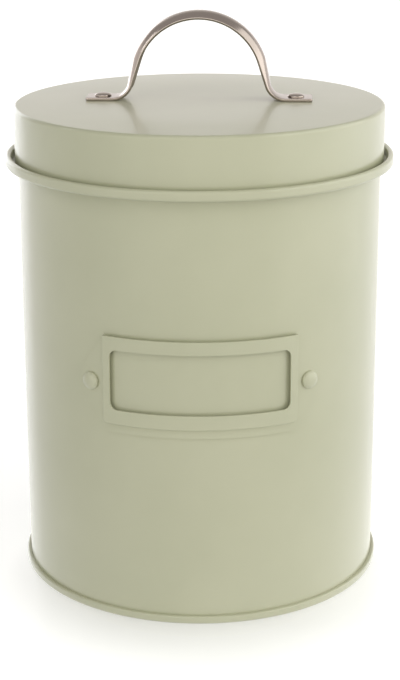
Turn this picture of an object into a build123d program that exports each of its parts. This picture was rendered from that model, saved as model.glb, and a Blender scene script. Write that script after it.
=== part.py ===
from build123d import *
import os
from math import cos, degrees, radians, sin, tan

# Metal storage canister with a lift-off lid, in millimetres.
# Z is up, the canister stands on z = 0, its axis is the Z axis, and the label holder faces -Y.

# Sheet steel
sheet = 0.5                     # thickness of the canister's and the lid's sheet
seat_gap = 0.1                  # between pressed sheets that lie against each other
lid_gap = 0.3                   # between the resting lid and what it rests on
bend_share = 0.45               # that one bend takes of a narrow fold's inside width

# Canister
body_diameter = 150.0
rim_top = 178.8                 # height of the rim above the ground
rim_height = 4.4                # of the rolled rim, from its underside
rim_overhang = 5.25             # of the rim's outer face beyond the wall
rim_roll_width = 2.35           # across the roll, from its inner face to its outer face
flare_bend = 0.8                # where the wall turns out under the rim; all bends are inside radii
ledge_bend = 0.3                # from the ledge up into the rim
roll_tuck = 0.5                 # slit between the roll's raw edge and the rim's inner leaf
seam_lock_width = 6.0           # of the folded side seam at the back
seam_lock_thickness = 0.8       # that the folded seam stands into the canister
seam_groove_width = 0.8
seam_groove_depth = 0.2

# Base, held by a double seam
base_seam_height = 3.3
base_recess = 3.0               # height of the base panel's underside above the ground
base_lip_bend = 0.2
base_outer_bend = 0.6
base_inner_bend = 0.4
base_panel_bend = 0.6
body_hook_gap = 0.55            # between the wall and its hook
body_hook_clearance = 0.2       # above the hook, inside the seam

# Collar inside the mouth
collar_depth = 14.0             # of the collar that lies inside the wall, below the ledge
collar_curl_width = 1.9
collar_curl_height = 2.2

# Lid
lid_overhang = 1.4              # of the skirt beyond the canister's wall
lid_rise = 20.1                 # of the lid's edge above the rim
lid_crown = 0.9                 # that the flat middle stands above the edge
lid_slope_width = 24.4          # from the lid's side to its flat middle
lid_crown_bend = 380.0
lid_edge_bend = 1.0
lid_hem_depth = 5.0
lid_hem_width = 1.3
seal_width = 4.0
seal_thickness = 2.8
seal_edge = 0.5

# Handle, a pressed strap: dished along the arch, and flat at its feet
handle_turn = -3.0              # degrees, as the loose lid is turned against the label holder
handle_rise = 36.6              # from the lid to the top of the arch
strap_width = 12.0
strap_sheet = 1.3
arch_dish = 1.9                 # height of the strap's middle above its edges
leg_dish = 1.0                  # at the foot of the leg
foot_dish = 0.05
leg_slope = 19.0                # degrees from upright
foot_bend = 9.0                 # from the leg into the foot
handle_rivet_spacing = 79.5
foot_inset = 4.5                # of a flat foot, from its rivet to its bend
foot_overhang = 6.65            # of a foot, from its rivet to its end
foot_corner = 1.6

# Rivets and washers
rivet_shank_diameter = 4.0
rivet_hole_gap = 0.05           # all round the shank
rivet_edge_share = 0.2          # of a head's height, straight up before it is domed
handle_head_diameter = 6.9
handle_head_height = 1.4
handle_tail_diameter = 5.8
handle_tail_height = 0.9
washer_diameter = 8.0
washer_thickness = 0.8
label_head_diameter = 7.3
label_head_height = 2.0
label_tail_diameter = 5.6
label_tail_height = 0.9

# Label holder, pressed from sheet and open at its top
holder_sheet = 0.6
holder_stand_off = 1.5          # room for a card between the wall and the frame
holder_half_angle = 29.8        # degrees, half the raised frame
holder_bottom = 79.2
holder_height = 39.8
holder_flange = 3.7             # height of the bottom flange
holder_bend = 0.7
window_side_border = 3.36       # of the frame beside the window, and so on
window_top_border = 5.3
window_bottom_border = 6.1
window_corner = 2.4
ear_length = 12.0               # from the frame to the point where an ear's edges would meet
ear_tip_radius = 13.0
label_rivet_distance = 6.2      # along the ear, from the frame's side

# Radii and heights that follow
body_radius = body_diameter / 2
wall_inner = body_radius - sheet
rim_radius = body_radius + rim_overhang
rim_inner = rim_radius - rim_roll_width
ledge_under = rim_top - rim_height
ledge_top = ledge_under + sheet
hook_radius = body_radius + body_hook_gap
seam_radius = hook_radius + 2 * sheet + seat_gap / 2
panel_top = base_recess + sheet
lid_radius = body_radius + lid_overhang
lid_edge_top = rim_top + lid_rise
lid_top = lid_edge_top + lid_crown
lid_under = lid_top - sheet
hem_bottom = ledge_top + lid_gap
seal_top = lid_edge_top - sheet - seat_gap
seal_foot = seal_top - seal_thickness
collar_radius = wall_inner - seat_gap
collar_bottom = ledge_under - collar_depth
collar_top = seal_foot - lid_gap
holder_wall_face = body_radius + seat_gap
ear_face = holder_wall_face + holder_sheet
frame_face = body_radius + holder_stand_off + holder_sheet
holder_top = holder_bottom + holder_height
holder_middle = holder_bottom + holder_height / 2
label_rivet_angle = holder_half_angle + degrees(label_rivet_distance / ear_face)
shank_radius = rivet_shank_diameter / 2
hole_radius = shank_radius + rivet_hole_gap
washer_under = lid_under - seat_gap - washer_thickness


def bend_between(width):
    """The inside radius of two bends that share a fold of that outside width."""
    return bend_share * (width - 2 * sheet)


def pressed(points, bends, side):
    """A turned piece of sheet. One of its faces follows the points, which are radii and heights.
    The sheet lies left of them for side 1 and right for side -1. The bends are inside radii."""
    face = [Vector(*point) for point in points]
    across = [(end - start).normalized().rotate(Axis.Z, 90 * side) * sheet for start, end in zip(face, face[1:])]
    back = [face[0] + across[0]]
    face_radii = []
    back_radii = []
    for corner, following, before, after, bend in zip(face[1:], face[2:], across, across[1:], bends):
        back.append(corner + (before + after) / (1 + before.dot(after) / sheet**2))
        bends_inwards = (following - corner).dot(before) > 0
        face_radii.append(bend + sheet if bends_inwards else bend)
        back_radii.append(bend if bends_inwards else bend + sheet)
    back.append(face[-1] + across[-1])
    outline = FilletPolyline(
        *face,
        *reversed(back),
        radius=[0, *face_radii, 0, 0, *reversed(back_radii), 0],
        close=True,
    )
    return revolve(Plane.XZ * make_face(outline), Axis.Z)


def turned(*points):
    """A solid of revolution about Z from a closed outline in radius and height."""
    return revolve(Plane.XZ * make_face(Polyline(*points, close=True)), Axis.Z)


def sector(inner, outer, low, high, half_angle, middle=0.0):
    """Part of a ring about Z, centred on the -Y side and turned by middle degrees."""
    outline = Polyline((inner, low), (outer, low), (outer, high), (inner, high), close=True)
    ring = revolve(Plane.XZ * make_face(outline), Axis.Z, revolution_arc=2 * half_angle)
    return Rot(0, 0, -90 - half_angle + middle) * ring


def rod(radius, low, high):
    return Pos(0, 0, low) * Cylinder(radius, high - low, align=(Align.CENTER, Align.CENTER, Align.MIN))


def dome_rivet(head_diameter, head_height, tail_diameter, tail_height, grip):
    """A rivet on Z: its head sits on z = 0, and its grip and its set tail lie below."""
    head_radius = head_diameter / 2
    tail_radius = tail_diameter / 2
    head_edge = rivet_edge_share * head_height
    crown = TangentArc((0, head_height), (head_radius, head_edge), tangent=(1, 0))
    sides = Polyline(
        (head_radius, head_edge),
        (head_radius, 0),
        (shank_radius, 0),
        (shank_radius, -grip),
        (tail_radius, -grip),
        (tail_radius - tail_height / 2, -grip - tail_height),
        (0, -grip - tail_height),
        (0, head_height),
    )
    return revolve(Plane.XZ * make_face(crown.edges() + sides.edges()), Axis.Z)


# Where the rivets go
def at_label_rivet(side):
    """On the ear's face, with the rivet's head outwards."""
    angle = radians(side * label_rivet_angle)
    point = (ear_face * sin(angle), -ear_face * cos(angle), holder_middle)
    outward = (sin(angle), -cos(angle), 0)
    return Plane(origin=point, x_dir=(0, 0, 1), z_dir=outward).location


def at_handle_rivet(side):
    """On the handle's foot, at the lid's top plane."""
    return Rot(0, 0, handle_turn) * Pos(side * handle_rivet_spacing / 2, 0, lid_top)


# Canister wall: a rolled sheet with hooked base flange, ledge and rolled rim
def make_body_wall():
    hook_floor = 2 * sheet + seat_gap
    hook_top = base_seam_height - sheet - body_hook_clearance
    hook_bend = bend_share * body_hook_gap
    inner_leaf = rim_inner + sheet
    roll_ceiling = rim_top - sheet
    roll_face = rim_radius - sheet
    roll_floor = ledge_under + sheet + seat_gap
    roll_edge = inner_leaf + roll_tuck
    rim_bend = bend_between(rim_roll_width)
    roll_foot_bend = 2 * bend_share * (roll_face - roll_edge)
    wall = pressed(
        [
            (hook_radius, hook_top),
            (hook_radius, hook_floor),
            (body_radius, hook_floor),
            (body_radius, ledge_under),
            (inner_leaf, ledge_under),
            (inner_leaf, roll_ceiling),
            (roll_face, roll_ceiling),
            (roll_face, roll_floor),
            (roll_edge, roll_floor),
        ],
        [hook_bend, hook_bend, flare_bend, ledge_bend, rim_bend, rim_bend, roll_foot_bend],
        1,
    )
    lock_angle = degrees(seam_lock_width / 2 / body_radius)
    groove_angle = degrees(seam_groove_width / 2 / body_radius)
    lock = sector(
        wall_inner - seam_lock_thickness,
        wall_inner + sheet / 2,
        panel_top + 2 * sheet,
        collar_bottom - 2 * sheet,
        lock_angle,
        180,
    )
    groove = sector(
        body_radius - seam_groove_depth,
        body_radius + sheet,
        base_seam_height + seat_gap,
        ledge_under - flare_bend,
        groove_angle,
        180 + lock_angle,
    )
    wall = wall + lock - groove
    for side in (-1, 1):
        wall -= at_label_rivet(side) * rod(hole_radius, -4 * sheet, 4 * sheet)
    return wall


def make_base_panel():
    panel_wall = wall_inner - seat_gap - sheet
    return pressed(
        [
            (body_radius + seat_gap, base_seam_height),
            (seam_radius, base_seam_height),
            (seam_radius, 0),
            (panel_wall, 0),
            (panel_wall, base_recess),
            (0, base_recess),
        ],
        [base_lip_bend, base_outer_bend, base_inner_bend, base_panel_bend],
        -1,
    )


def make_neck_collar():
    curl_bend = bend_between(collar_curl_width)
    return pressed(
        [
            (collar_radius, collar_bottom),
            (collar_radius, collar_top),
            (collar_radius - collar_curl_width, collar_top),
            (collar_radius - collar_curl_width, collar_top - collar_curl_height),
        ],
        [curl_bend, curl_bend],
        1,
    )


# Lid: a drawn cap with a hem folded inwards at the foot of its skirt
def make_lid_shell():
    hem_bend = bend_between(lid_hem_width)
    shell = pressed(
        [
            (lid_radius - lid_hem_width, hem_bottom + lid_hem_depth),
            (lid_radius - lid_hem_width, hem_bottom),
            (lid_radius, hem_bottom),
            (lid_radius, lid_edge_top),
            (lid_radius - lid_slope_width, lid_top),
            (0, lid_top),
        ],
        [hem_bend, hem_bend, lid_edge_bend, lid_crown_bend],
        1,
    )
    for side in (-1, 1):
        shell -= at_handle_rivet(side) * rod(hole_radius, -2 * sheet, sheet)
    return shell


def make_lid_seal():
    outer = lid_radius - sheet - seat_gap
    inner = outer - seal_width
    shoulder = lid_edge_bend + seat_gap
    return turned(
        (inner, seal_foot + seal_edge),
        (inner + seal_edge, seal_foot),
        (outer - seal_edge, seal_foot),
        (outer, seal_foot + seal_edge),
        (outer, seal_top - shoulder),
        (outer - shoulder, seal_top),
        (inner, seal_top),
    )


# Handle: the strap's lower edges follow a line from a flat foot over the arch to the other foot
def make_lid_handle():
    foot_x = handle_rivet_spacing / 2 - foot_inset
    foot_end = handle_rivet_spacing / 2 + foot_overhang
    slope = radians(90 - leg_slope)
    leg_foot_x = foot_x - foot_bend * sin(slope)
    leg_foot_z = foot_bend * (1 - cos(slope))
    edge_top = handle_rise - arch_dish - strap_sheet
    arch_radius = (leg_foot_x - (edge_top - leg_foot_z) / tan(slope)) / tan(slope / 2)
    arch_middle = edge_top - arch_radius

    def on_arch(angle):
        return (arch_radius * sin(angle), 0, arch_middle + arch_radius * cos(angle))

    def on_foot_bend(angle):
        return (foot_x - foot_bend * sin(angle), 0, foot_bend * (1 - cos(angle)))

    arch = ThreePointArc(on_arch(0), on_arch(slope / 2), on_arch(slope))
    leg = Line(on_arch(slope), (leg_foot_x, 0, leg_foot_z))
    bend = ThreePointArc((leg_foot_x, 0, leg_foot_z), on_foot_bend(slope / 2), (foot_x, 0, 0))
    path = Wire([arch.edge(), leg.edge(), bend.edge()])

    def section(distance, dish):
        """Across the strap, at a distance from the top of the arch along its lower edges."""
        side = -1 if distance < 0 else 1
        middle = path.position_at(abs(distance), position_mode=PositionMode.LENGTH)
        heading = path.tangent_at(abs(distance), position_mode=PositionMode.LENGTH)
        plane = Plane(
            origin=(side * middle.X, 0, middle.Z),
            x_dir=(0, 1, 0),
            z_dir=(heading.X, 0, side * heading.Z),
        )
        edge = strap_width / 2
        outline = [
            ThreePointArc((-edge, 0), (0, dish), (edge, 0)),
            Line((edge, 0), (edge, strap_sheet)),
            ThreePointArc((edge, strap_sheet), (0, dish + strap_sheet), (-edge, strap_sheet)),
            Line((-edge, strap_sheet), (-edge, 0)),
        ]
        return plane * make_face([line.edge() for line in outline])

    stretches = [
        (0, arch.length, arch_dish, arch_dish, 8),
        (arch.length, arch.length + leg.length, arch_dish, leg_dish, 3),
        (arch.length + leg.length, path.length, leg_dish, foot_dish, 5),
    ]
    spots = [(path.length, foot_dish)]
    for start, end, dish, end_dish, steps in stretches:
        for step in range(steps):
            share = step / steps
            spots.append((start + share * (end - start), dish + share * (end_dish - dish)))
    left_spots = [(-distance, dish) for distance, dish in spots if distance > 0]
    strap = loft([section(*spot) for spot in sorted(left_spots + spots)])
    foot = Pos(foot_x, 0, 0) * Box(
        foot_end - foot_x,
        strap_width,
        strap_sheet,
        align=(Align.MIN, Align.CENTER, Align.MIN),
    )
    corners = foot.edges().filter_by(Axis.Z).group_by(Axis.X)[-1]
    foot = fillet(corners, foot_corner)
    foot -= Pos(handle_rivet_spacing / 2, 0, 0) * rod(hole_radius, -sheet, 2 * strap_sheet)
    handle = strap + foot + mirror(foot, about=Plane.YZ)
    return Rot(0, 0, handle_turn) * Pos(0, 0, lid_top) * handle


def make_handle_rivet(side):
    grip = strap_sheet + lid_top - washer_under
    rivet = dome_rivet(
        handle_head_diameter,
        handle_head_height,
        handle_tail_diameter,
        handle_tail_height,
        grip,
    )
    return at_handle_rivet(side) * Pos(0, 0, strap_sheet) * rivet


def make_handle_washer(side):
    disc = rod(washer_diameter / 2, washer_under, washer_under + washer_thickness)
    hole = rod(hole_radius, washer_under - sheet, lid_under)
    return at_handle_rivet(side) * Pos(0, 0, -lid_top) * (disc - hole)


# Label holder: a raised frame over a flange and two ears that lie on the wall
def make_label_holder():
    step = holder_bottom + holder_flange
    wall_angle = degrees(holder_sheet / frame_face)
    window_half_angle = holder_half_angle - degrees(window_side_border / frame_face)
    frame = sector(holder_wall_face, frame_face, step, holder_top, holder_half_angle)
    outer_edges = frame.edges().filter_by(
        lambda edge: edge.center().Y < -frame_face * cos(radians(holder_half_angle)) + seat_gap
        and edge.center().Z < holder_top - seat_gap
        and min((point.X**2 + point.Y**2) ** 0.5 for point in edge.vertices()) > ear_face
    )
    frame = fillet(outer_edges, holder_bend)
    pocket = sector(
        holder_wall_face - sheet,
        frame_face - holder_sheet,
        step + holder_sheet,
        holder_top + sheet,
        holder_half_angle - wall_angle,
    )
    corner_x = ear_face * sin(radians(holder_half_angle))
    ear_reach = corner_x + ear_length
    plate_line = FilletPolyline(
        (corner_x, holder_top),
        (-corner_x, holder_top),
        (-ear_reach, holder_middle),
        (-corner_x, holder_bottom),
        (corner_x, holder_bottom),
        (ear_reach, holder_middle),
        radius=[0, 0, ear_tip_radius, holder_bend, holder_bend, ear_tip_radius],
        close=True,
    )
    plate = extrude(Plane.XZ * make_face(plate_line.edges()), body_diameter)
    plate &= sector(holder_wall_face, ear_face, holder_bottom, holder_top, 2 * holder_half_angle)
    window = sector(
        body_radius - sheet,
        frame_face + sheet,
        step + window_bottom_border,
        holder_top - window_top_border,
        window_half_angle,
    )
    flat_edges = window.edges().filter_by(GeomType.LINE).filter_by(Axis.Z, reverse=True)
    window = fillet(flat_edges, window_corner)
    holder = frame + plate - pocket - window
    for side in (-1, 1):
        holder -= at_label_rivet(side) * rod(hole_radius, -2 * holder_sheet, holder_sheet)
    return holder


def make_label_rivet(side):
    grip = ear_face - wall_inner + seat_gap
    rivet = dome_rivet(
        label_head_diameter,
        label_head_height,
        label_tail_diameter,
        label_tail_height,
        grip,
    )
    return at_label_rivet(side) * rivet


pieces = {
    "body_wall": make_body_wall(),
    "base_panel": make_base_panel(),
    "neck_collar": make_neck_collar(),
    "label_holder": make_label_holder(),
    "label_rivet_left": make_label_rivet(-1),
    "label_rivet_right": make_label_rivet(1),
    "lid_shell": make_lid_shell(),
    "lid_seal": make_lid_seal(),
    "lid_handle": make_lid_handle(),
    "handle_rivet_left": make_handle_rivet(-1),
    "handle_rivet_right": make_handle_rivet(1),
    "handle_washer_left": make_handle_washer(-1),
    "handle_washer_right": make_handle_washer(1),
}

os.makedirs("parts", exist_ok=True)
for node, shape in pieces.items():
    export_step(shape, f"parts/{node}.step")
    print(node, "volume", round(shape.volume, 1))
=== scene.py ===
from math import atan2, cos, hypot, pi, radians, sin, tan

import bmesh
import bpy
from mathutils import Euler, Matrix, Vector


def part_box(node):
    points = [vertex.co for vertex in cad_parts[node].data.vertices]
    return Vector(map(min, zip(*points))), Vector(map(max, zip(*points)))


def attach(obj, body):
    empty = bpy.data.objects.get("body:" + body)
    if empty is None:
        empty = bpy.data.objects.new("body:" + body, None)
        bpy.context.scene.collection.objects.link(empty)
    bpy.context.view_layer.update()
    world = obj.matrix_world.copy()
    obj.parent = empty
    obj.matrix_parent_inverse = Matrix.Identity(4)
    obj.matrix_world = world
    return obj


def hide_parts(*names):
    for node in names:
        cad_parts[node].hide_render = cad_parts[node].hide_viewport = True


# Looks of the metal storage canister.
# Pieces are modelled in millimetres and brought to metres when they are finished.
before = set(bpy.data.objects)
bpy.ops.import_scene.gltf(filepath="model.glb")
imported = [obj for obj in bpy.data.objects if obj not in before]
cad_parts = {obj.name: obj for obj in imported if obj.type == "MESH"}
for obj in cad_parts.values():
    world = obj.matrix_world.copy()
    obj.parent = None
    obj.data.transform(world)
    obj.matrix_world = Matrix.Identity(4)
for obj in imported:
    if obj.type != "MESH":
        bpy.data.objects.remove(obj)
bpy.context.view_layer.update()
millimetre = 0.001
print("frame loaded,", len(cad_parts), "nodes")


# Sizes that several pieces share, in millimetres, most of them read from the solids' boxes

def bottomOf(node):
    return round(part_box(node)[0][2] / millimetre, 2)


def topOf(node):
    return round(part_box(node)[1][2] / millimetre, 2)


def radiusOf(node):
    return round(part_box(node)[1][0] / millimetre, 2)


tinSheet = 0.5                          # of the wall, the base, the collar and the lid
bodyRadius = 75.0                       # outer face of the wall
footRadius = radiusOf("base_panel")
rimRadius, rimTop = radiusOf("body_wall"), topOf("body_wall")
lidRadius, lidEdge, lidTop = radiusOf("lid_shell"), bottomOf("lid_shell"), topOf("lid_shell")
strapSheet = 1.3
handleTurn = -3.0                       # degrees, as the lid happens to lie on the canister
holderSheet = 0.6
earFace = bodyRadius + 0.1 + holderSheet    # radius of the outer face of the holder's ears and flange
holderBottom, holderTop = bottomOf("label_holder"), topOf("label_holder")


# Camera

cameraSettings = {
    "place": (0.28, -688.81, 315.90),
    "down": 16.376,                     # degrees below the horizon
    "roll": -0.19,
    "focalLength": 1682.2,              # in pixels of the picture
    "axisPixel": (200.65, 300.0),       # where the lens axis meets the picture
    "picture": (400, 680),
    "sensor": 36.0,
    "sees": (0.05, 20),                 # from and to, in metres
}


def addCamera(settings):
    width, height = settings["picture"]
    tilt = Euler((radians(90 - settings["down"]), 0, 0)).to_matrix()
    roll = Euler((0, 0, radians(settings["roll"]))).to_matrix()
    bpy.ops.object.camera_add(
        location=Vector(settings["place"]) * millimetre,
        rotation=(tilt @ roll).to_euler(),
    )
    camera = bpy.context.object
    camera.data.sensor_width = settings["sensor"]
    camera.data.lens = settings["focalLength"] * settings["sensor"] / height
    camera.data.shift_x = (width / 2 - settings["axisPixel"][0]) / height
    camera.data.shift_y = (settings["axisPixel"][1] - height / 2) / height
    camera.data.clip_start, camera.data.clip_end = settings["sees"]
    bpy.context.scene.camera = camera


addCamera(cameraSettings)
print("camera placed")


# Modelling helpers

roundSides = 192                        # sides of the large round pieces
bendSteps = 5                           # faces round each bend
slack = 0.01                            # places nearer than this are taken as the same
usualCrease = 32                        # degrees; sharper edges stay hard
roundedEdge = 60                        # degrees; a pressed piece's edges sharper than this are rounded


def activate(piece):
    bpy.ops.object.select_all(action="DESELECT")
    piece.select_set(True)
    bpy.context.view_layer.objects.active = piece


def startEditing(piece):
    activate(piece)
    bpy.ops.object.mode_set(mode="EDIT")
    bpy.ops.mesh.select_mode(type="VERT")
    bpy.ops.mesh.select_all(action="DESELECT")


def stopEditing():
    bpy.ops.object.mode_set(mode="OBJECT")


def pick(piece, kind, test):
    # selects the vertices, edges or faces that pass the test, and nothing else
    bpy.ops.mesh.select_mode(type=kind)
    bpy.ops.mesh.select_all(action="DESELECT")
    mesh = bmesh.from_edit_mesh(piece.data)
    for part in {"VERT": mesh.verts, "EDGE": mesh.edges, "FACE": mesh.faces}[kind]:
        if test(part):
            part.select_set(True)
    mesh.select_flush_mode()
    bmesh.update_edit_mesh(piece.data)


def bothEnds(edge, test):
    return all(test(vertex.co) for vertex in edge.verts)


def extrudeBy(x=0.0, y=0.0, z=0.0):
    bpy.ops.mesh.extrude_region_move(TRANSFORM_OT_translate={"value": (x, y, z)})


def applyModifier(piece, name, kind, **settings):
    activate(piece)
    modifier = piece.modifiers.new(name, kind)
    for setting, value in settings.items():
        setattr(modifier, setting, value)
    bpy.ops.object.modifier_apply(modifier=name)


def thicken(piece, sheet):
    # the modelled face is the outer one, and the sheet grows inwards
    applyModifier(piece, "Sheet", "SOLIDIFY", thickness=sheet, offset=-1, use_even_offset=True)


def addCircle(name, radius, height, sides):
    bpy.ops.object.select_all(action="DESELECT")
    bpy.ops.mesh.primitive_circle_add(vertices=sides, radius=radius, location=(0, 0, height))
    piece = bpy.context.object
    piece.name = name
    piece.data.name = name
    bpy.ops.object.transform_apply(location=True, rotation=True, scale=True)
    return piece


def extrudeRings(points):
    # the selected ring follows the radii and heights, and closes where the radius is 0
    for (radius, height), (nextRadius, nextHeight) in zip(points, points[1:]):
        extrudeBy(z=nextHeight - height)
        share = nextRadius / radius
        bpy.ops.transform.resize(value=(share, share, 1), center_override=(0, 0, nextHeight))
    if points[-1][0] == 0:
        bpy.ops.mesh.merge(type="CENTER")


def bendRing(piece, corner, faceRadius, turn):
    pick(piece, "EDGE", lambda edge: bothEnds(edge, lambda place: onRing(place, *corner)))
    bpy.ops.mesh.bevel(
        offset=faceRadius * tan(turn / 2),
        offset_type="OFFSET",
        segments=bendSteps,
        profile=0.5,
        affect="EDGES",
        clamp_overlap=False,
    )


def onRing(place, radius, height):
    return abs(hypot(place.x, place.y) - radius) < slack and abs(place.z - height) < slack


def turnSheet(name, settings):
    # a turned sheet: points are radii and heights on its face, bends are inside radii
    points, bends, sheet = settings["points"], settings["bends"], settings["sheet"]
    piece = addCircle(name, *points[0], roundSides)
    startEditing(piece)
    bpy.ops.mesh.select_all(action="SELECT")
    extrudeRings(points)
    for before, corner, after, bend in zip(points, points[1:], points[2:], bends):
        first = Vector((corner[0] - before[0], corner[1] - before[1]))
        second = Vector((after[0] - corner[0], after[1] - corner[1]))
        turn = first.angle_signed(second)           # positive turns right
        towardsSheet = turn * settings["sheetSide"] < 0
        bendRing(piece, corner, bend + sheet if towardsSheet else bend, abs(turn))
    faceAwayFromSheet(piece, points, settings["sheetSide"])
    stopEditing()
    return piece


def faceAwayFromSheet(piece, points, sheetSide):
    # the normals are made alike, then turned if those beside the first ring look into the sheet
    bpy.ops.mesh.select_all(action="SELECT")
    bpy.ops.mesh.normals_make_consistent(inside=False)
    (radius, height), (nextRadius, nextHeight) = points[:2]
    pick(piece, "FACE", lambda face: (
        sum(onRing(vertex.co, radius, height) for vertex in face.verts) == 2))
    face = next(face for face in bmesh.from_edit_mesh(piece.data).faces if face.select)
    place = face.calc_center_median()
    outwards = face.normal.to_2d().dot(place.to_2d().normalized())
    away = outwards * (nextHeight - height) - face.normal.z * (nextRadius - radius)
    bpy.ops.mesh.select_all(action="SELECT")
    if away * sheetSide < 0:
        bpy.ops.mesh.flip_normals()


def finishPiece(piece, body, nodes, material, crease=usualCrease):
    activate(piece)
    piece.scale = (millimetre, millimetre, millimetre)
    bpy.ops.object.transform_apply(location=True, rotation=True, scale=True)
    bpy.ops.object.shade_smooth_by_angle(angle=radians(crease))
    applyModifier(piece, "Even", "WEIGHTED_NORMAL", keep_sharp=True)
    piece.data.materials.clear()
    piece.data.materials.append(material)
    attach(piece, body)
    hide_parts(*nodes)
    print(piece.name, "made,", len(piece.data.polygons), "faces")


# Materials

noiseSpan = (0.3, 0.7)                  # where nearly all values of a noise pattern lie


def newMaterial(name, sockets):
    # what is the same all over the surface is set on the shader's own sockets
    material = bpy.data.materials.new(name)
    material.use_nodes = True
    shader = material.node_tree.nodes["Principled BSDF"]
    for socket, value in sockets.items():
        shader.inputs[socket].default_value = value
    return material, material.node_tree, shader


def addNode(tree, kind, inputs=None, **settings):
    node = tree.nodes.new("ShaderNode" + kind)
    for setting, value in settings.items():
        setattr(node, setting, value)
    for socket, value in (inputs or {}).items():
        if isinstance(value, bpy.types.NodeSocket):
            tree.links.new(value, node.inputs[socket])
        else:
            node.inputs[socket].default_value = value
    return node


def addNoise(tree, place, scale, detail):
    return addNode(tree, "TexNoise", {"Vector": place, "Scale": scale, "Detail": detail}).outputs["Fac"]


def addRange(tree, value, fromSpan, toSpan, **settings):
    return addNode(tree, "MapRange", {
        "Value": value,
        "From Min": fromSpan[0], "From Max": fromSpan[1],
        "To Min": toSpan[0], "To Max": toSpan[1],
    }, **settings).outputs["Result"]


def mixColours(tree, share, first, second):
    mix = addNode(tree, "Mix", {"Factor": share}, data_type="RGBA")
    mix.inputs["A"].default_value = first
    mix.inputs["B"].default_value = second
    return mix.outputs["Result"]


def paintColour(tree, shader, share, settings):
    colour = mixColours(tree, share, settings["dark"], settings["light"])
    tree.links.new(colour, shader.inputs["Base Color"])


def varySheen(tree, shader, pattern, settings):
    roughness = addRange(tree, pattern, noiseSpan, settings["roughness"])
    tree.links.new(roughness, shader.inputs["Roughness"])


def addRelief(tree, shader, pattern, strength, depth):
    bump = addNode(tree, "Bump", {"Height": pattern, "Strength": strength, "Distance": depth})
    tree.links.new(bump.outputs["Normal"], shader.inputs["Normal"])


sagePaint = {
    "light": (0.545, 0.549, 0.396, 1),
    "dark": (0.516, 0.523, 0.372, 1),
    "cloudScale": 22.0,                 # slow change of tone over the surface
    "cloudSpan": (0.35, 0.65),
    "peelScale": 1100.0,                # orange peel of the sprayed coat
    "peelStrength": 0.5,
    "peelDepth": 0.000012,
    "grainScale": 5200.0,
    "roughness": (0.31, 0.38),
    "sockets": {"Coat Weight": 0.4, "Coat Roughness": 0.14, "Coat IOR": 1.5},
}


def makeSagePaint(name, settings):
    material, tree, shader = newMaterial(name, settings["sockets"])
    place = addNode(tree, "TexCoord").outputs["Object"]
    cloud = addNoise(tree, place, settings["cloudScale"], detail=3.0)
    paintColour(tree, shader, addRange(tree, cloud, settings["cloudSpan"], (0, 1)), settings)
    varySheen(tree, shader, addNoise(tree, place, settings["grainScale"], detail=1.0), settings)
    peel = addNoise(tree, place, settings["peelScale"], detail=1.0)
    addRelief(tree, shader, peel, settings["peelStrength"], settings["peelDepth"])
    return material


brushedNickel = {
    "light": (0.430, 0.378, 0.342, 1),
    "dark": (0.310, 0.268, 0.240, 1),
    "grain": (60.0, 4200.0, 4200.0),    # along the brushing and across it
    "grainStrength": 0.4,
    "grainDepth": 0.000006,
    "roughness": (0.15, 0.25),
    "sockets": {"Metallic": 1.0},
}


def makeBrushedNickel(name, settings, coordinates):
    material, tree, shader = newMaterial(name, settings["sockets"])
    place = addNode(tree, "TexCoord").outputs[coordinates]
    stretch = addNode(tree, "Mapping", {"Vector": place, "Scale": settings["grain"]})
    grain = addNoise(tree, stretch.outputs["Vector"], 1.0, detail=4.0)
    paintColour(tree, shader, grain, settings)
    varySheen(tree, shader, grain, settings)
    addRelief(tree, shader, grain, settings["grainStrength"], settings["grainDepth"])
    return material


plainSteel = {
    "light": (0.66, 0.66, 0.65, 1),
    "dark": (0.52, 0.52, 0.52, 1),
    "cloudScale": 60.0,
    "grain": (90.0, 90.0, 5000.0),      # rolled round the axis
    "roughness": (0.22, 0.38),
    "sockets": {"Metallic": 1.0},
}


def makePlainSteel(name, settings):
    material, tree, shader = newMaterial(name, settings["sockets"])
    place = addNode(tree, "TexCoord").outputs["Object"]
    paintColour(tree, shader, addNoise(tree, place, settings["cloudScale"], detail=3.0), settings)
    stretch = addNode(tree, "Mapping", {"Vector": place, "Scale": settings["grain"]})
    varySheen(tree, shader, addNoise(tree, stretch.outputs["Vector"], 1.0, detail=3.0), settings)
    return material


milkySilicone = {
    "light": (0.80, 0.80, 0.76, 1),
    "dark": (0.70, 0.70, 0.67, 1),
    "cloudScale": 90.0,
    "grainScale": 3000.0,
    "grainStrength": 0.3,
    "grainDepth": 0.00002,
    "sockets": {"Roughness": 0.5, "Subsurface Weight": 0.15, "Subsurface Scale": 0.002},
}


def makeMilkySilicone(name, settings):
    material, tree, shader = newMaterial(name, settings["sockets"])
    place = addNode(tree, "TexCoord").outputs["Object"]
    paintColour(tree, shader, addNoise(tree, place, settings["cloudScale"], detail=2.0), settings)
    grain = addNoise(tree, place, settings["grainScale"], detail=1.0)
    addRelief(tree, shader, grain, settings["grainStrength"], settings["grainDepth"])
    return material


canisterPaint = makeSagePaint("SagePaintCanister", sagePaint)
lidPaint = makeSagePaint("SagePaintLid", sagePaint)
strapNickel = makeBrushedNickel("BrushedNickelStrap", brushedNickel, "UV")
rivetNickel = makeBrushedNickel("BrushedNickelRivet", brushedNickel, "Object")
bareSteel = makePlainSteel("PlainSteel", plainSteel)
silicone = makeMilkySilicone("MilkySilicone", milkySilicone)
print("materials made")


# Canister wall

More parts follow.
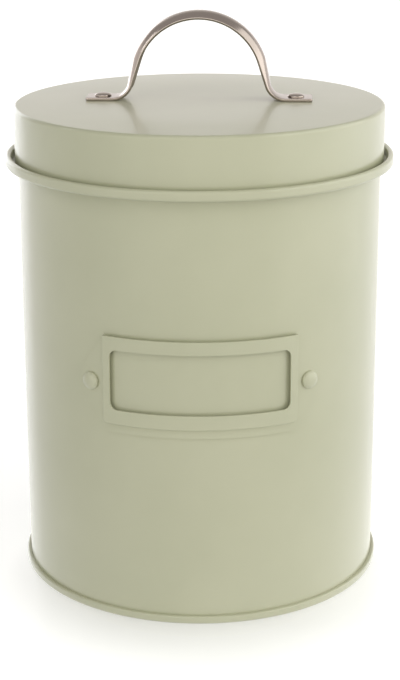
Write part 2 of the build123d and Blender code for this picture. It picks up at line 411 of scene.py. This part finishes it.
wallSettings = {
    "sheet": tinSheet,
    "sheetSide": 1,                     # left of the points' way
    "points": [                         # from the edge in the base's fold up to the rolled rim
        (bodyRadius + 0.55, 2.6), (bodyRadius + 0.55, 1.1), (bodyRadius, 1.1), (bodyRadius, 174.4),
        (78.4, 174.4), (78.4, rimTop - tinSheet),
        (rimRadius - tinSheet, rimTop - tinSheet), (rimRadius - tinSheet, 175.0), (78.9, 175.0),
    ],
    "bends": [0.25, 0.25, 0.8, 0.3, 0.6, 0.6, 0.68],
    "lockHalfWidth": 3.0,               # folded side seam at the back
    "lockThickness": 0.8,
    "lockHeights": (4.5, 159.4),
    "grooveHalfWidth": 0.4,
    "grooveDepth": 0.2,
    "grooveHeights": (3.4, 173.5),
}


def makeBodyWall(settings):
    wall = turnSheet("BodyWall", settings)
    lock, groove = settings["lockHalfWidth"], settings["grooveHalfWidth"]
    startEditing(wall)
    for height in (*settings["lockHeights"], *settings["grooveHeights"]):
        pick(wall, "FACE", isWallFace)
        bpy.ops.mesh.bisect(plane_co=(0, 0, height), plane_no=(0, 0, 1))
    for x in (-lock - groove, -lock, -lock + groove, lock):
        pick(wall, "FACE", lambda face: isWallFace(face) and face.calc_center_median().y > 0)
        bpy.ops.mesh.bisect(plane_co=(x, 0, 0), plane_no=(1, 0, 0))
    stopEditing()
    thicken(wall, settings["sheet"])
    startEditing(wall)
    grooveSides, lockSides = (-lock - groove, -lock + groove), (-lock, lock)
    moveStrip(wall, 1, grooveSides, settings["grooveHeights"], -settings["grooveDepth"])
    moveStrip(wall, -1, lockSides, settings["lockHeights"], settings["lockThickness"])
    stopEditing()
    finishPiece(wall, "canister", ["body_wall"], canisterPaint)


def isWallFace(face):
    return all(abs(hypot(vertex.co.x, vertex.co.y) - bodyRadius) < 5 * slack for vertex in face.verts)


def moveStrip(wall, way, across, heights, depth):
    # the strip's faces that look to the back, or for way -1 to the front, move along their normals
    pick(wall, "FACE", lambda face: face.normal.y * way > 0.5 and inStrip(face, across, heights))
    bpy.ops.mesh.extrude_region_shrink_fatten(TRANSFORM_OT_shrink_fatten={"value": depth})


def inStrip(face, across, heights):
    return all(
        vertex.co.y > bodyRadius - 2 * tinSheet
        and across[0] - slack < vertex.co.x < across[1] + slack
        and heights[0] - slack < vertex.co.z < heights[1] + slack
        for vertex in face.verts
    )


makeBodyWall(wallSettings)


# Base panel, whose edge is the low chime round the foot

baseSettings = {
    "sheet": tinSheet,
    "sheetSide": -1,                    # right of the points' way
    "points": [                         # from the chime's top edge to the middle of the bottom
        (bodyRadius + 0.1, 3.3), (footRadius, 3.3), (footRadius, 0.0),
        (73.9, 0.0), (73.9, 3.0), (0, 3.0),
    ],
    "bends": [0.2, 0.6, 0.4, 0.6],
}


def makeBasePanel(settings):
    base = turnSheet("BasePanel", settings)
    thicken(base, settings["sheet"])
    finishPiece(base, "canister", ["base_panel"], canisterPaint)


makeBasePanel(baseSettings)


# Collar inside the mouth

collarSettings = {
    "sheet": tinSheet,
    "sheetSide": 1,
    "points": [                         # up the collar, then over its curled edge
        (radiusOf("neck_collar"), bottomOf("neck_collar")),
        (radiusOf("neck_collar"), topOf("neck_collar")),
        (72.5, topOf("neck_collar")), (72.5, 193.0),
    ],
    "bends": [0.405, 0.405],
}


def makeNeckCollar(settings):
    collar = turnSheet("NeckCollar", settings)
    thicken(collar, settings["sheet"])
    finishPiece(collar, "canister", ["neck_collar"], bareSteel)


makeNeckCollar(collarSettings)


# Lid

lidSettings = {
    "sheet": tinSheet,
    "sheetSide": 1,
    "points": [                         # from the hem inside the skirt to the middle of the top
        (75.1, 180.2), (75.1, lidEdge), (lidRadius, lidEdge), (lidRadius, 198.9),
        (52.0, lidTop), (0, lidTop),
    ],
    "bends": [0.135, 0.135, 1.0, 380.0],
}


def makeLidShell(settings):
    lid = turnSheet("LidShell", settings)
    thicken(lid, settings["sheet"])
    finishPiece(lid, "lid", ["lid_shell"], lidPaint)


makeLidShell(lidSettings)


# Rivets: a domed head on z = 0 with its shank and set tail below

rivetSides = 56
domeSteps = 10
handleRivetSettings = {
    "headRadius": 3.45, "headHeight": 1.4, "edgeHeight": 0.28, "edgeBend": 0.14,
    "shankRadius": 2.0, "grip": 2.7, "tailRadius": 2.9, "tailHeight": 0.9,
    "spacing": 79.5,
}
labelRivetSettings = {
    "headRadius": 3.65, "headHeight": 2.0, "edgeHeight": 0.4, "edgeBend": 0.2,
    "shankRadius": 2.0, "grip": 1.3, "tailRadius": 2.8, "tailHeight": 0.9,
    "angle": 34.49,                     # degrees from the front
}


def makeRivet(name, settings):
    head, edge = settings["headRadius"], settings["edgeHeight"]
    dome = settings["headHeight"] - edge
    angles = [pi / 2 * (1 - step / domeSteps) for step in range(domeSteps + 1)]
    crown = [(head * sin(angle), edge + dome * cos(angle)) for angle in angles]
    shank, grip, tail = settings["shankRadius"], settings["grip"], settings["tailRadius"]
    tailEnd = grip + settings["tailHeight"]
    under = [
        (head, edge), (head, 0), (shank, 0), (shank, -grip), (tail, -grip),
        (tail - settings["tailHeight"] / 2, -tailEnd), (0, -tailEnd),
    ]
    rivet = addCircle(name, head, edge, rivetSides)
    startEditing(rivet)
    bpy.ops.mesh.select_all(action="SELECT")
    extrudeRings(crown)
    pick(rivet, "VERT", lambda vertex: abs(vertex.co.z - edge) < slack)
    extrudeRings(under)
    pick(rivet, "EDGE", lambda ring: bothEnds(
        ring, lambda place: abs(place.z) < slack and hypot(place.x, place.y) > shank + slack))
    bpy.ops.mesh.bevel(offset=settings["edgeBend"], segments=3, profile=0.5, affect="EDGES")
    bpy.ops.mesh.select_all(action="SELECT")
    bpy.ops.mesh.remove_doubles(threshold=slack)
    bpy.ops.mesh.normals_make_consistent(inside=False)
    stopEditing()
    return rivet


def placeInMesh(piece, rotation, location):
    activate(piece)
    piece.rotation_euler = rotation
    piece.location = location
    bpy.ops.object.transform_apply(location=True, rotation=True, scale=True)


def makeHandleRivets(settings):
    turn = radians(handleTurn)
    for side, word in ((-1, "left"), (1, "right")):
        rivet = makeRivet("HandleRivet" + word.capitalize(), settings)
        reach = side * settings["spacing"] / 2
        placeInMesh(rivet, (0, 0, turn), (reach * cos(turn), reach * sin(turn), lidTop + strapSheet))
        finishPiece(rivet, "lid", ["handle_rivet_" + word], rivetNickel)


def makeLabelRivets(settings):
    for side, word in ((-1, "left"), (1, "right")):
        rivet = makeRivet("LabelRivet" + word.capitalize(), settings)
        turn = radians(side * settings["angle"])
        place = (earFace * sin(turn), -earFace * cos(turn), (holderBottom + holderTop) / 2)
        placeInMesh(rivet, (pi / 2, 0, turn), place)
        finishPiece(rivet, "canister", ["label_rivet_" + word], canisterPaint)


makeHandleRivets(handleRivetSettings)
makeLabelRivets(labelRivetSettings)


# Handle: pressed flat on the bench, then bent round

handleSettings = {
    "width": 12.0,
    "sheet": strapSheet,
    "rise": topOf("lid_handle") - lidTop,
    "dish": 2.7,                        # of the strap's middle above its edges, on the arch
    "legDish": 1.5,                     # at the foot of the leg
    "footDish": 0.05,
    "slope": 71.0,                      # degrees that the arch turns, each way
    "footBend": 9.0,
    "footInner": 35.25,                 # where the flat foot starts
    "footEnd": 46.4,
    "footCorner": 1.6,
    "edgeBend": 0.35,
    "crease": 40,
    "acrossSteps": 20,
    "steps": (26, 8, 16, 8),            # along the arch, leg, foot bend and foot
}


def makeLidHandle(settings):
    slope, footBend = radians(settings["slope"]), settings["footBend"]
    legFootX = settings["footInner"] - footBend * sin(slope)
    legFootZ = footBend * (1 - cos(slope))
    edgeTop = settings["rise"] - settings["dish"] - settings["sheet"]     # of the arch's lower side
    archRadius = (legFootX - (edgeTop - legFootZ) / tan(slope)) / tan(slope / 2)
    legTopX = archRadius * sin(slope)
    legTopZ = edgeTop - archRadius * (1 - cos(slope))
    legLength = hypot(legFootX - legTopX, legTopZ - legFootZ)
    footLength = settings["footEnd"] - settings["footInner"]
    dish, legDish, footDish = settings["dish"], settings["legDish"], settings["footDish"]
    lengths = (archRadius * slope, legLength, footBend * slope, footLength)
    dishes = (dish, dish, legDish, footDish, footDish)      # where each stretch starts, and at the end
    turns = (slope, 0, -slope, 0)

    strap = flatStrap(settings, lengths, dishes)
    markBrushing(strap)
    startEditing(strap)
    end = sum(lengths)
    for length, steps, turn in reversed(list(zip(lengths, settings["steps"], turns))):
        for step in range(steps + 1 if turn else 0):
            share = 0.5 if step in (0, steps) else 1
            bendStrap(strap, end - step * length / steps, share * turn / steps)
        end -= length
    bpy.ops.mesh.select_all(action="SELECT")
    bpy.ops.transform.translate(value=(0, 0, lidTop + edgeTop))
    stopEditing()
    applyModifier(strap, "OtherHalf", "MIRROR", use_clip=True, merge_threshold=slack)
    placeInMesh(strap, (0, 0, radians(handleTurn)), (0, 0, 0))
    finishPiece(strap, "lid", ["lid_handle"], strapNickel, settings["crease"])


def flatStrap(settings, lengths, dishes):
    # half the strap, straight along X from the middle of the arch, with its dish and its edges
    width, sheet, dish = settings["width"], settings["sheet"], settings["dish"]
    bpy.ops.object.select_all(action="DESELECT")
    bpy.ops.mesh.primitive_circle_add(vertices=4, radius=1)
    strap = bpy.context.object
    strap.name = strap.data.name = "LidHandle"
    startEditing(strap)
    bpy.ops.mesh.select_all(action="SELECT")
    bpy.ops.mesh.merge(type="CENTER")
    bpy.ops.transform.translate(value=(0, -width / 2, 0))
    dishRadius = ((width / 2) ** 2 + dish**2) / (2 * dish)
    bpy.ops.mesh.spin(
        steps=settings["acrossSteps"],
        angle=2 * atan2(width / 2, dishRadius - dish),
        center=(0, 0, dish - dishRadius),
        axis=(1, 0, 0),
    )
    bpy.ops.mesh.select_all(action="SELECT")
    for length, steps, startDish, endDish in zip(lengths, settings["steps"], dishes, dishes[1:]):
        for step in range(steps):
            extrudeBy(x=length / steps)
            before = startDish + (endDish - startDish) * step / steps
            after = startDish + (endDish - startDish) * (step + 1) / steps
            bpy.ops.transform.resize(value=(1, 1, after / before), center_override=(0, 0, 0))
    bpy.ops.mesh.select_all(action="SELECT")
    bpy.ops.transform.translate(value=(0, 0, sheet))
    bpy.ops.mesh.normals_make_consistent(inside=False)
    stopEditing()
    thicken(strap, sheet)
    startEditing(strap)
    end, edge = sum(lengths) - slack, width / 2 - 10 * slack
    pick(strap, "EDGE", lambda line: bothEnds(line, lambda place: place.x > end and abs(place.y) > edge))
    bpy.ops.mesh.bevel(offset=settings["footCorner"], segments=8, profile=0.5, affect="EDGES")
    pick(strap, "FACE", lambda face: all(abs(vertex.co.x) < slack for vertex in face.verts))
    bpy.ops.mesh.delete(type="FACE")
    bpy.ops.mesh.select_all(action="SELECT")
    bpy.ops.mesh.remove_doubles(threshold=2 * slack)
    stopEditing()
    applyModifier(
        strap, "SoftEdges", "BEVEL", width=settings["edgeBend"], segments=4, limit_method="ANGLE",
        angle_limit=radians(roundedEdge), use_clamp_overlap=False)
    return strap


def markBrushing(piece):
    # the brushing follows the strap, so its map is laid out while the strap is straight
    layout = piece.data.uv_layers.new(name="Brushing")
    for loop in piece.data.loops:
        place = piece.data.vertices[loop.vertex_index].co * millimetre
        layout.data[loop.index].uv = (place.x, place.y + place.z)


def bendStrap(piece, spot, turn):
    # what lies beyond the spot turns down by the angle, and the strap's section there by half of it
    starts = (spot - 2 * slack, spot + 2 * slack) if spot > slack else (spot + 2 * slack,)
    for start in starts:
        pick(piece, "VERT", lambda vertex: vertex.co.x > start)
        bpy.ops.transform.rotate(
            value=-turn / len(starts), orient_axis="Y", center_override=(spot, 0, 0))


makeLidHandle(handleSettings)


# Label holder: a pressed blank, bent round the wall and riveted on

holderSettings = {
    "sheet": holderSheet,
    "standOff": 1.4,                    # of the frame's face above the ears' face
    "halfAngle": 29.8,                  # degrees from the front to the frame's side
    "flange": 3.7,
    "sideBorder": 3.3,
    "topBorder": 5.3,
    "bottomBorder": 6.1,
    "windowCorner": 3.2,
    "frameCorner": 1.2,
    "frontBend": 0.7,
    "footBend": 0.45,
    "edgeBend": 0.12,
    "blankReach": 54.0,                 # of the flat blank, from the middle to each end
    "earLength": 12.0,
    "earTip": 13.0,                     # radius
    "columnWidth": 1.25,                # of the faces that bend round the wall
    "tipCuts": 12,
}


def makeLabelHolder(settings):
    face = earFace + settings["standOff"]
    side = face * radians(settings["halfAngle"])
    step = holderBottom + settings["flange"]
    window = {
        "side": side - settings["sideBorder"],
        "low": step + settings["bottomBorder"],
        "high": holderTop - settings["topBorder"],
    }
    holder = cutWindow(window, settings["windowCorner"])
    startEditing(holder)
    shiftBorder(holder, window, settings)
    shrinkCorners(holder, side, step, settings)
    pressFrame(holder, side, step, settings)
    bpy.ops.mesh.select_all(action="SELECT")
    bpy.ops.mesh.remove_doubles(threshold=slack)
    columns = int(settings["blankReach"] / settings["columnWidth"])
    for column in range(-columns, columns + 1):
        bpy.ops.mesh.select_all(action="SELECT")
        bpy.ops.mesh.bisect(
            plane_co=(column * settings["columnWidth"], 0, 0), plane_no=(1, 0, 0), threshold=slack)
    stopEditing()
    applyModifier(
        holder, "RoundTheWall", "SIMPLE_DEFORM", deform_method="BEND", deform_axis="Z",
        angle=holder.dimensions.x / face)
    placeInMesh(holder, (0, 0, 0), (0, -face, 0))
    trimEars(holder, settings)
    startEditing(holder)
    bpy.ops.mesh.select_all(action="SELECT")
    bpy.ops.mesh.normals_make_consistent(inside=False)
    stopEditing()
    thicken(holder, settings["sheet"])
    applyModifier(
        holder, "SoftEdges", "BEVEL", width=settings["edgeBend"], segments=2, limit_method="ANGLE",
        angle_limit=radians(roundedEdge))
    finishPiece(holder, "canister", ["label_holder"], canisterPaint)


def cutWindow(window, corner):
    # the window's outline, with its corners rounded, facing -Y
    low, high = window["low"], window["high"]
    bpy.ops.object.select_all(action="DESELECT")
    bpy.ops.mesh.primitive_plane_add(size=1, location=(0, 0, (low + high) / 2), rotation=(pi / 2, 0, 0))
    holder = bpy.context.object
    holder.name = holder.data.name = "LabelHolder"
    holder.scale = (2 * window["side"], high - low, 1)
    bpy.ops.object.transform_apply(location=True, rotation=True, scale=True)
    startEditing(holder)
    bpy.ops.mesh.select_all(action="SELECT")
    bpy.ops.mesh.bevel(offset=corner, offset_type="OFFSET", segments=8, affect="VERTICES")
    bpy.ops.mesh.select_all(action="SELECT")
    bpy.ops.mesh.delete(type="ONLY_FACE")
    stopEditing()
    return holder


def shiftBorder(holder, window, settings):
    # a second outline grows out of the window's, each side by its border
    bpy.ops.mesh.select_all(action="SELECT")
    extrudeBy()
    mesh = bmesh.from_edit_mesh(holder.data)
    outline = [vertex.index for vertex in mesh.verts if vertex.select]
    middle = (window["low"] + window["high"]) / 2
    moveParts(holder, outline, (
        (lambda place: place.x < 0, (-settings["sideBorder"], 0, 0)),
        (lambda place: place.x > 0, (settings["sideBorder"], 0, 0)),
        (lambda place: place.z > middle, (0, 0, settings["topBorder"])),
        (lambda place: place.z < middle, (0, 0, -settings["bottomBorder"])),
    ))


def moveParts(holder, outline, moves):
    for test, shift in moves:
        pick(holder, "VERT", lambda vertex: vertex.index in outline and test(vertex.co))
        bpy.ops.transform.translate(value=shift)


def shrinkCorners(holder, side, step, settings):
    # the outline's corners are sharp at the open top and tighter than the window's at the bottom
    corner = settings["windowCorner"] + slack
    for way in (-1, 1):
        for height, share in ((holderTop, 0), (step, settings["frameCorner"] / settings["windowCorner"])):
            pick(holder, "VERT", lambda vertex: (
                abs(vertex.co.x - way * side) < corner
                and abs(vertex.co.z - height) < corner
                and isOutside(vertex.co, side, step, settings)))
            bpy.ops.transform.resize(value=(share, share, share), center_override=(way * side, 0, height))
    bpy.ops.mesh.select_all(action="SELECT")
    bpy.ops.mesh.remove_doubles(threshold=slack)


def isOutside(place, side, step, settings):
    # beyond the middle of the borders, so on the outer outline
    return (
        abs(place.x) > side - settings["sideBorder"] / 2
        or place.z > holderTop - settings["topBorder"] / 2
        or place.z < step + settings["bottomBorder"] / 2
    )


def pressFrame(holder, side, step, settings):
    # the outline's sides and bottom are pressed back to the ears and the flange
    corner = settings["frameCorner"] - slack
    depth = settings["standOff"]
    pick(holder, "EDGE", lambda line: (
        bothEnds(line, lambda place: isOutside(place, side, step, settings))
        and len(line.link_faces) == 1
        and not bothEnds(line, lambda place: place.z > holderTop - slack)))
    extrudeBy(y=depth)
    extrudeBy()
    mesh = bmesh.from_edit_mesh(holder.data)
    outline = [vertex.index for vertex in mesh.verts if vertex.select]
    sideways = settings["blankReach"] - side
    moveParts(holder, outline, (
        (lambda place: place.x < -side + corner, (-sideways, 0, 0)),
        (lambda place: place.x > side - corner, (sideways, 0, 0)),
        (lambda place: place.z < step + corner, (0, 0, -settings["flange"])),
    ))
    for height, bend in ((0, settings["frontBend"]), (depth, settings["footBend"])):
        pick(holder, "EDGE", lambda line: (
            bothEnds(line, lambda place: abs(place.y - height) < slack)
            and len(line.link_faces) == 2
            and abs(line.link_faces[0].normal.dot(line.link_faces[1].normal)) < 0.5))
        bpy.ops.mesh.bevel(
            offset=bend, offset_type="OFFSET", segments=bendSteps, profile=0.5, affect="EDGES",
            clamp_overlap=False)


def trimEars(holder, settings):
    # straight cuts along tangents of the round tip leave two straight edges and the tip
    side = earFace * sin(radians(settings["halfAngle"]))
    halfHeight = (holderTop - holderBottom) / 2
    slant = atan2(settings["earLength"], halfHeight)
    tip = settings["earTip"]
    middle = side + settings["earLength"] - tip / cos(slant)
    nearEar = side - settings["footBend"]
    startEditing(holder)
    for way in (-1, 1):
        for cut in range(settings["tipCuts"] + 1):
            angle = slant * (2 * cut / settings["tipCuts"] - 1)
            normal = Vector((way * cos(angle), 0, sin(angle)))
            pick(holder, "FACE", lambda face: way * face.calc_center_median().x > nearEar and isEar(face))
            bpy.ops.mesh.bisect(
                plane_co=Vector((way * middle, 0, holderBottom + halfHeight)) + tip * normal,
                plane_no=normal, clear_outer=True)
    stopEditing()


def isEar(face):
    return all(hypot(vertex.co.x, vertex.co.y) < earFace + 5 * slack for vertex in face.verts)


makeLabelHolder(holderSettings)


# Lights, floor and background

roomSettings = {
    "ambient": 0.15,
    "background": (1, 1, 1, 1),
    # what glossy surfaces mirror: strengths at two heights above the horizon, in degrees; 1 is white
    "mirrored": {"heights": (14.0, 28.0), "strength": (1.14, 0.58), "colour": (1.0, 0.955, 0.925, 1)},
    "floor": {"Base Color": (0.72, 0.72, 0.71, 1), "Roughness": 0.2, "Emission Color": (1, 1, 1, 1)},
    "floorSize": 9.0,
    # the floor's glow, as seen and as mirrored, from near a spot to far from it, in metres; near the
    # canister it is painted shade and painted light
    "glow": {
        # seen glow, weaker near the spot: a painted contact shadow round and in front of the canister's
        # foot, added to its real shadow
        "Is Camera Ray": {"spot": (0, -0.03, 0), "reach": (0.05, 0.085), "strength": (0.29, 0.6)},
        # mirrored glow, stronger near the spot: painted light that the canister's paint mirrors low down
        # and at its edges
        "Is Glossy Ray": {"spot": (0, -0.06, 0), "reach": (0.05, 0.25), "strength": (1.18, 0.85)},
    },
}
lampTarget = Vector((0, 0, 0.11))
lampSettings = {
    # place: degrees from the front round to the right, degrees up, and metres away from the target
    # glow: 1 is as bright as white paper
    "Front": {"place": (-14, 14, 1.6), "size": (2.4, 1.0), "glow": 0.85, "colour": (1, 0.99, 0.84)},
    "FrontHigh": {"place": (-10, 50, 1.4), "size": (0.9, 0.7), "glow": 1.4, "colour": (1, 1, 1)},
    "FrontLeft": {"place": (-48, 18, 1.6), "size": (1.2, 1.0), "glow": 0.65, "colour": (0.9, 0.93, 0.95)},
    "FrontRight": {"place": (38, 18, 1.6), "size": (1.2, 1.0), "glow": 0.65, "colour": (1, 0.98, 0.9)},
    "KeyRight": {"place": (82, 22, 1.3), "size": (1.9, 1.5), "glow": 1.45, "colour": (0.99, 1, 0.97)},
    "PanelLeft": {"place": (-92, 34, 1.2), "size": (0.14, 0.45), "glow": 4.5, "colour": (1, 1, 1)},
    "RimLeft": {"place": (-150, 8, 1.6), "size": (0.8, 1.0), "glow": 1.7, "colour": (0.92, 0.94, 1)},
    "BackHigh": {"place": (180, 35, 1.4), "size": (1.4, 0.5), "glow": 0.3, "colour": (1, 0.98, 0.9)},
}


def makeWorld(settings):
    world = bpy.data.worlds.new("Studio")
    bpy.context.scene.world = world
    world.use_nodes = True
    tree = world.node_tree
    background = tree.nodes["Background"]
    rays = addNode(tree, "LightPath")
    seen, glossy = rays.outputs["Is Camera Ray"], rays.outputs["Is Glossy Ray"]
    direction = addNode(tree, "SeparateXYZ", {"Vector": addNode(tree, "TexCoord").outputs["Generated"]})
    mirrored = settings["mirrored"]
    fade = addRange(
        tree, direction.outputs["Z"], [sin(radians(height)) for height in mirrored["heights"]],
        mirrored["strength"], interpolation_type="SMOOTHSTEP")
    room = addRange(tree, glossy, (0, 1), (settings["ambient"], fade))
    strength = addNode(tree, "Math", {0: seen, 1: room}, operation="MAXIMUM")
    tree.links.new(strength.outputs["Value"], background.inputs["Strength"])
    colour = mixColours(tree, seen, mirrored["colour"], settings["background"])
    tree.links.new(colour, background.inputs["Color"])


def makeFloor(settings):
    material, tree, shader = newMaterial("PaleFloor", settings["floor"])
    rays = addNode(tree, "LightPath")
    place = addNode(tree, "TexCoord").outputs["Object"]
    paintedFloorShadeAndLight = []
    # the seen glow paints a contact shadow near the canister; the mirrored glow paints light that the
    # canister mirrors
    for kind, fade in settings["glow"].items():
        distance = addNode(tree, "VectorMath", {0: place, 1: fade["spot"]}, operation="DISTANCE")
        strength = addRange(tree, distance.outputs["Value"], fade["reach"], fade["strength"])
        glow = addNode(tree, "Math", {0: rays.outputs[kind], 1: strength}, operation="MULTIPLY")
        paintedFloorShadeAndLight.append(glow.outputs["Value"])
    total = addNode(tree, "Math", {0: paintedFloorShadeAndLight[0], 1: paintedFloorShadeAndLight[1]}, operation="ADD")
    tree.links.new(total.outputs["Value"], shader.inputs["Emission Strength"])
    bpy.ops.object.select_all(action="DESELECT")
    bpy.ops.mesh.primitive_plane_add(size=settings["floorSize"])
    floor = bpy.context.object
    floor.name = "Floor"
    floor.data.materials.append(material)


def addLamps(lamps):
    for name, lamp in lamps.items():
        around, up, away = lamp["place"]
        width, height = lamp["size"]
        way = Euler((radians(-up), 0, radians(around))).to_matrix() @ Vector((0, -1, 0))
        bpy.ops.object.light_add(type="AREA", location=lampTarget + way * away)
        light = bpy.context.object
        light.name = name
        light.rotation_euler = (-way).to_track_quat("-Z", "Y").to_euler()
        light.visible_camera = False
        light.data.shape = "RECTANGLE"
        light.data.size, light.data.size_y = width, height
        light.data.energy = pi * width * height * lamp["glow"]
        light.data.color = lamp["colour"]


makeWorld(roomSettings)
makeFloor(roomSettings)
addLamps(lampSettings)
bpy.context.scene.view_settings.view_transform = "Standard"
print("lights and floor placed")


# Hidden pieces keep their solids

for node, material in (
    ("lid_seal", silicone),
    ("handle_washer_left", bareSteel),
    ("handle_washer_right", bareSteel),
):
    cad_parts[node].material_slots[0].material = material
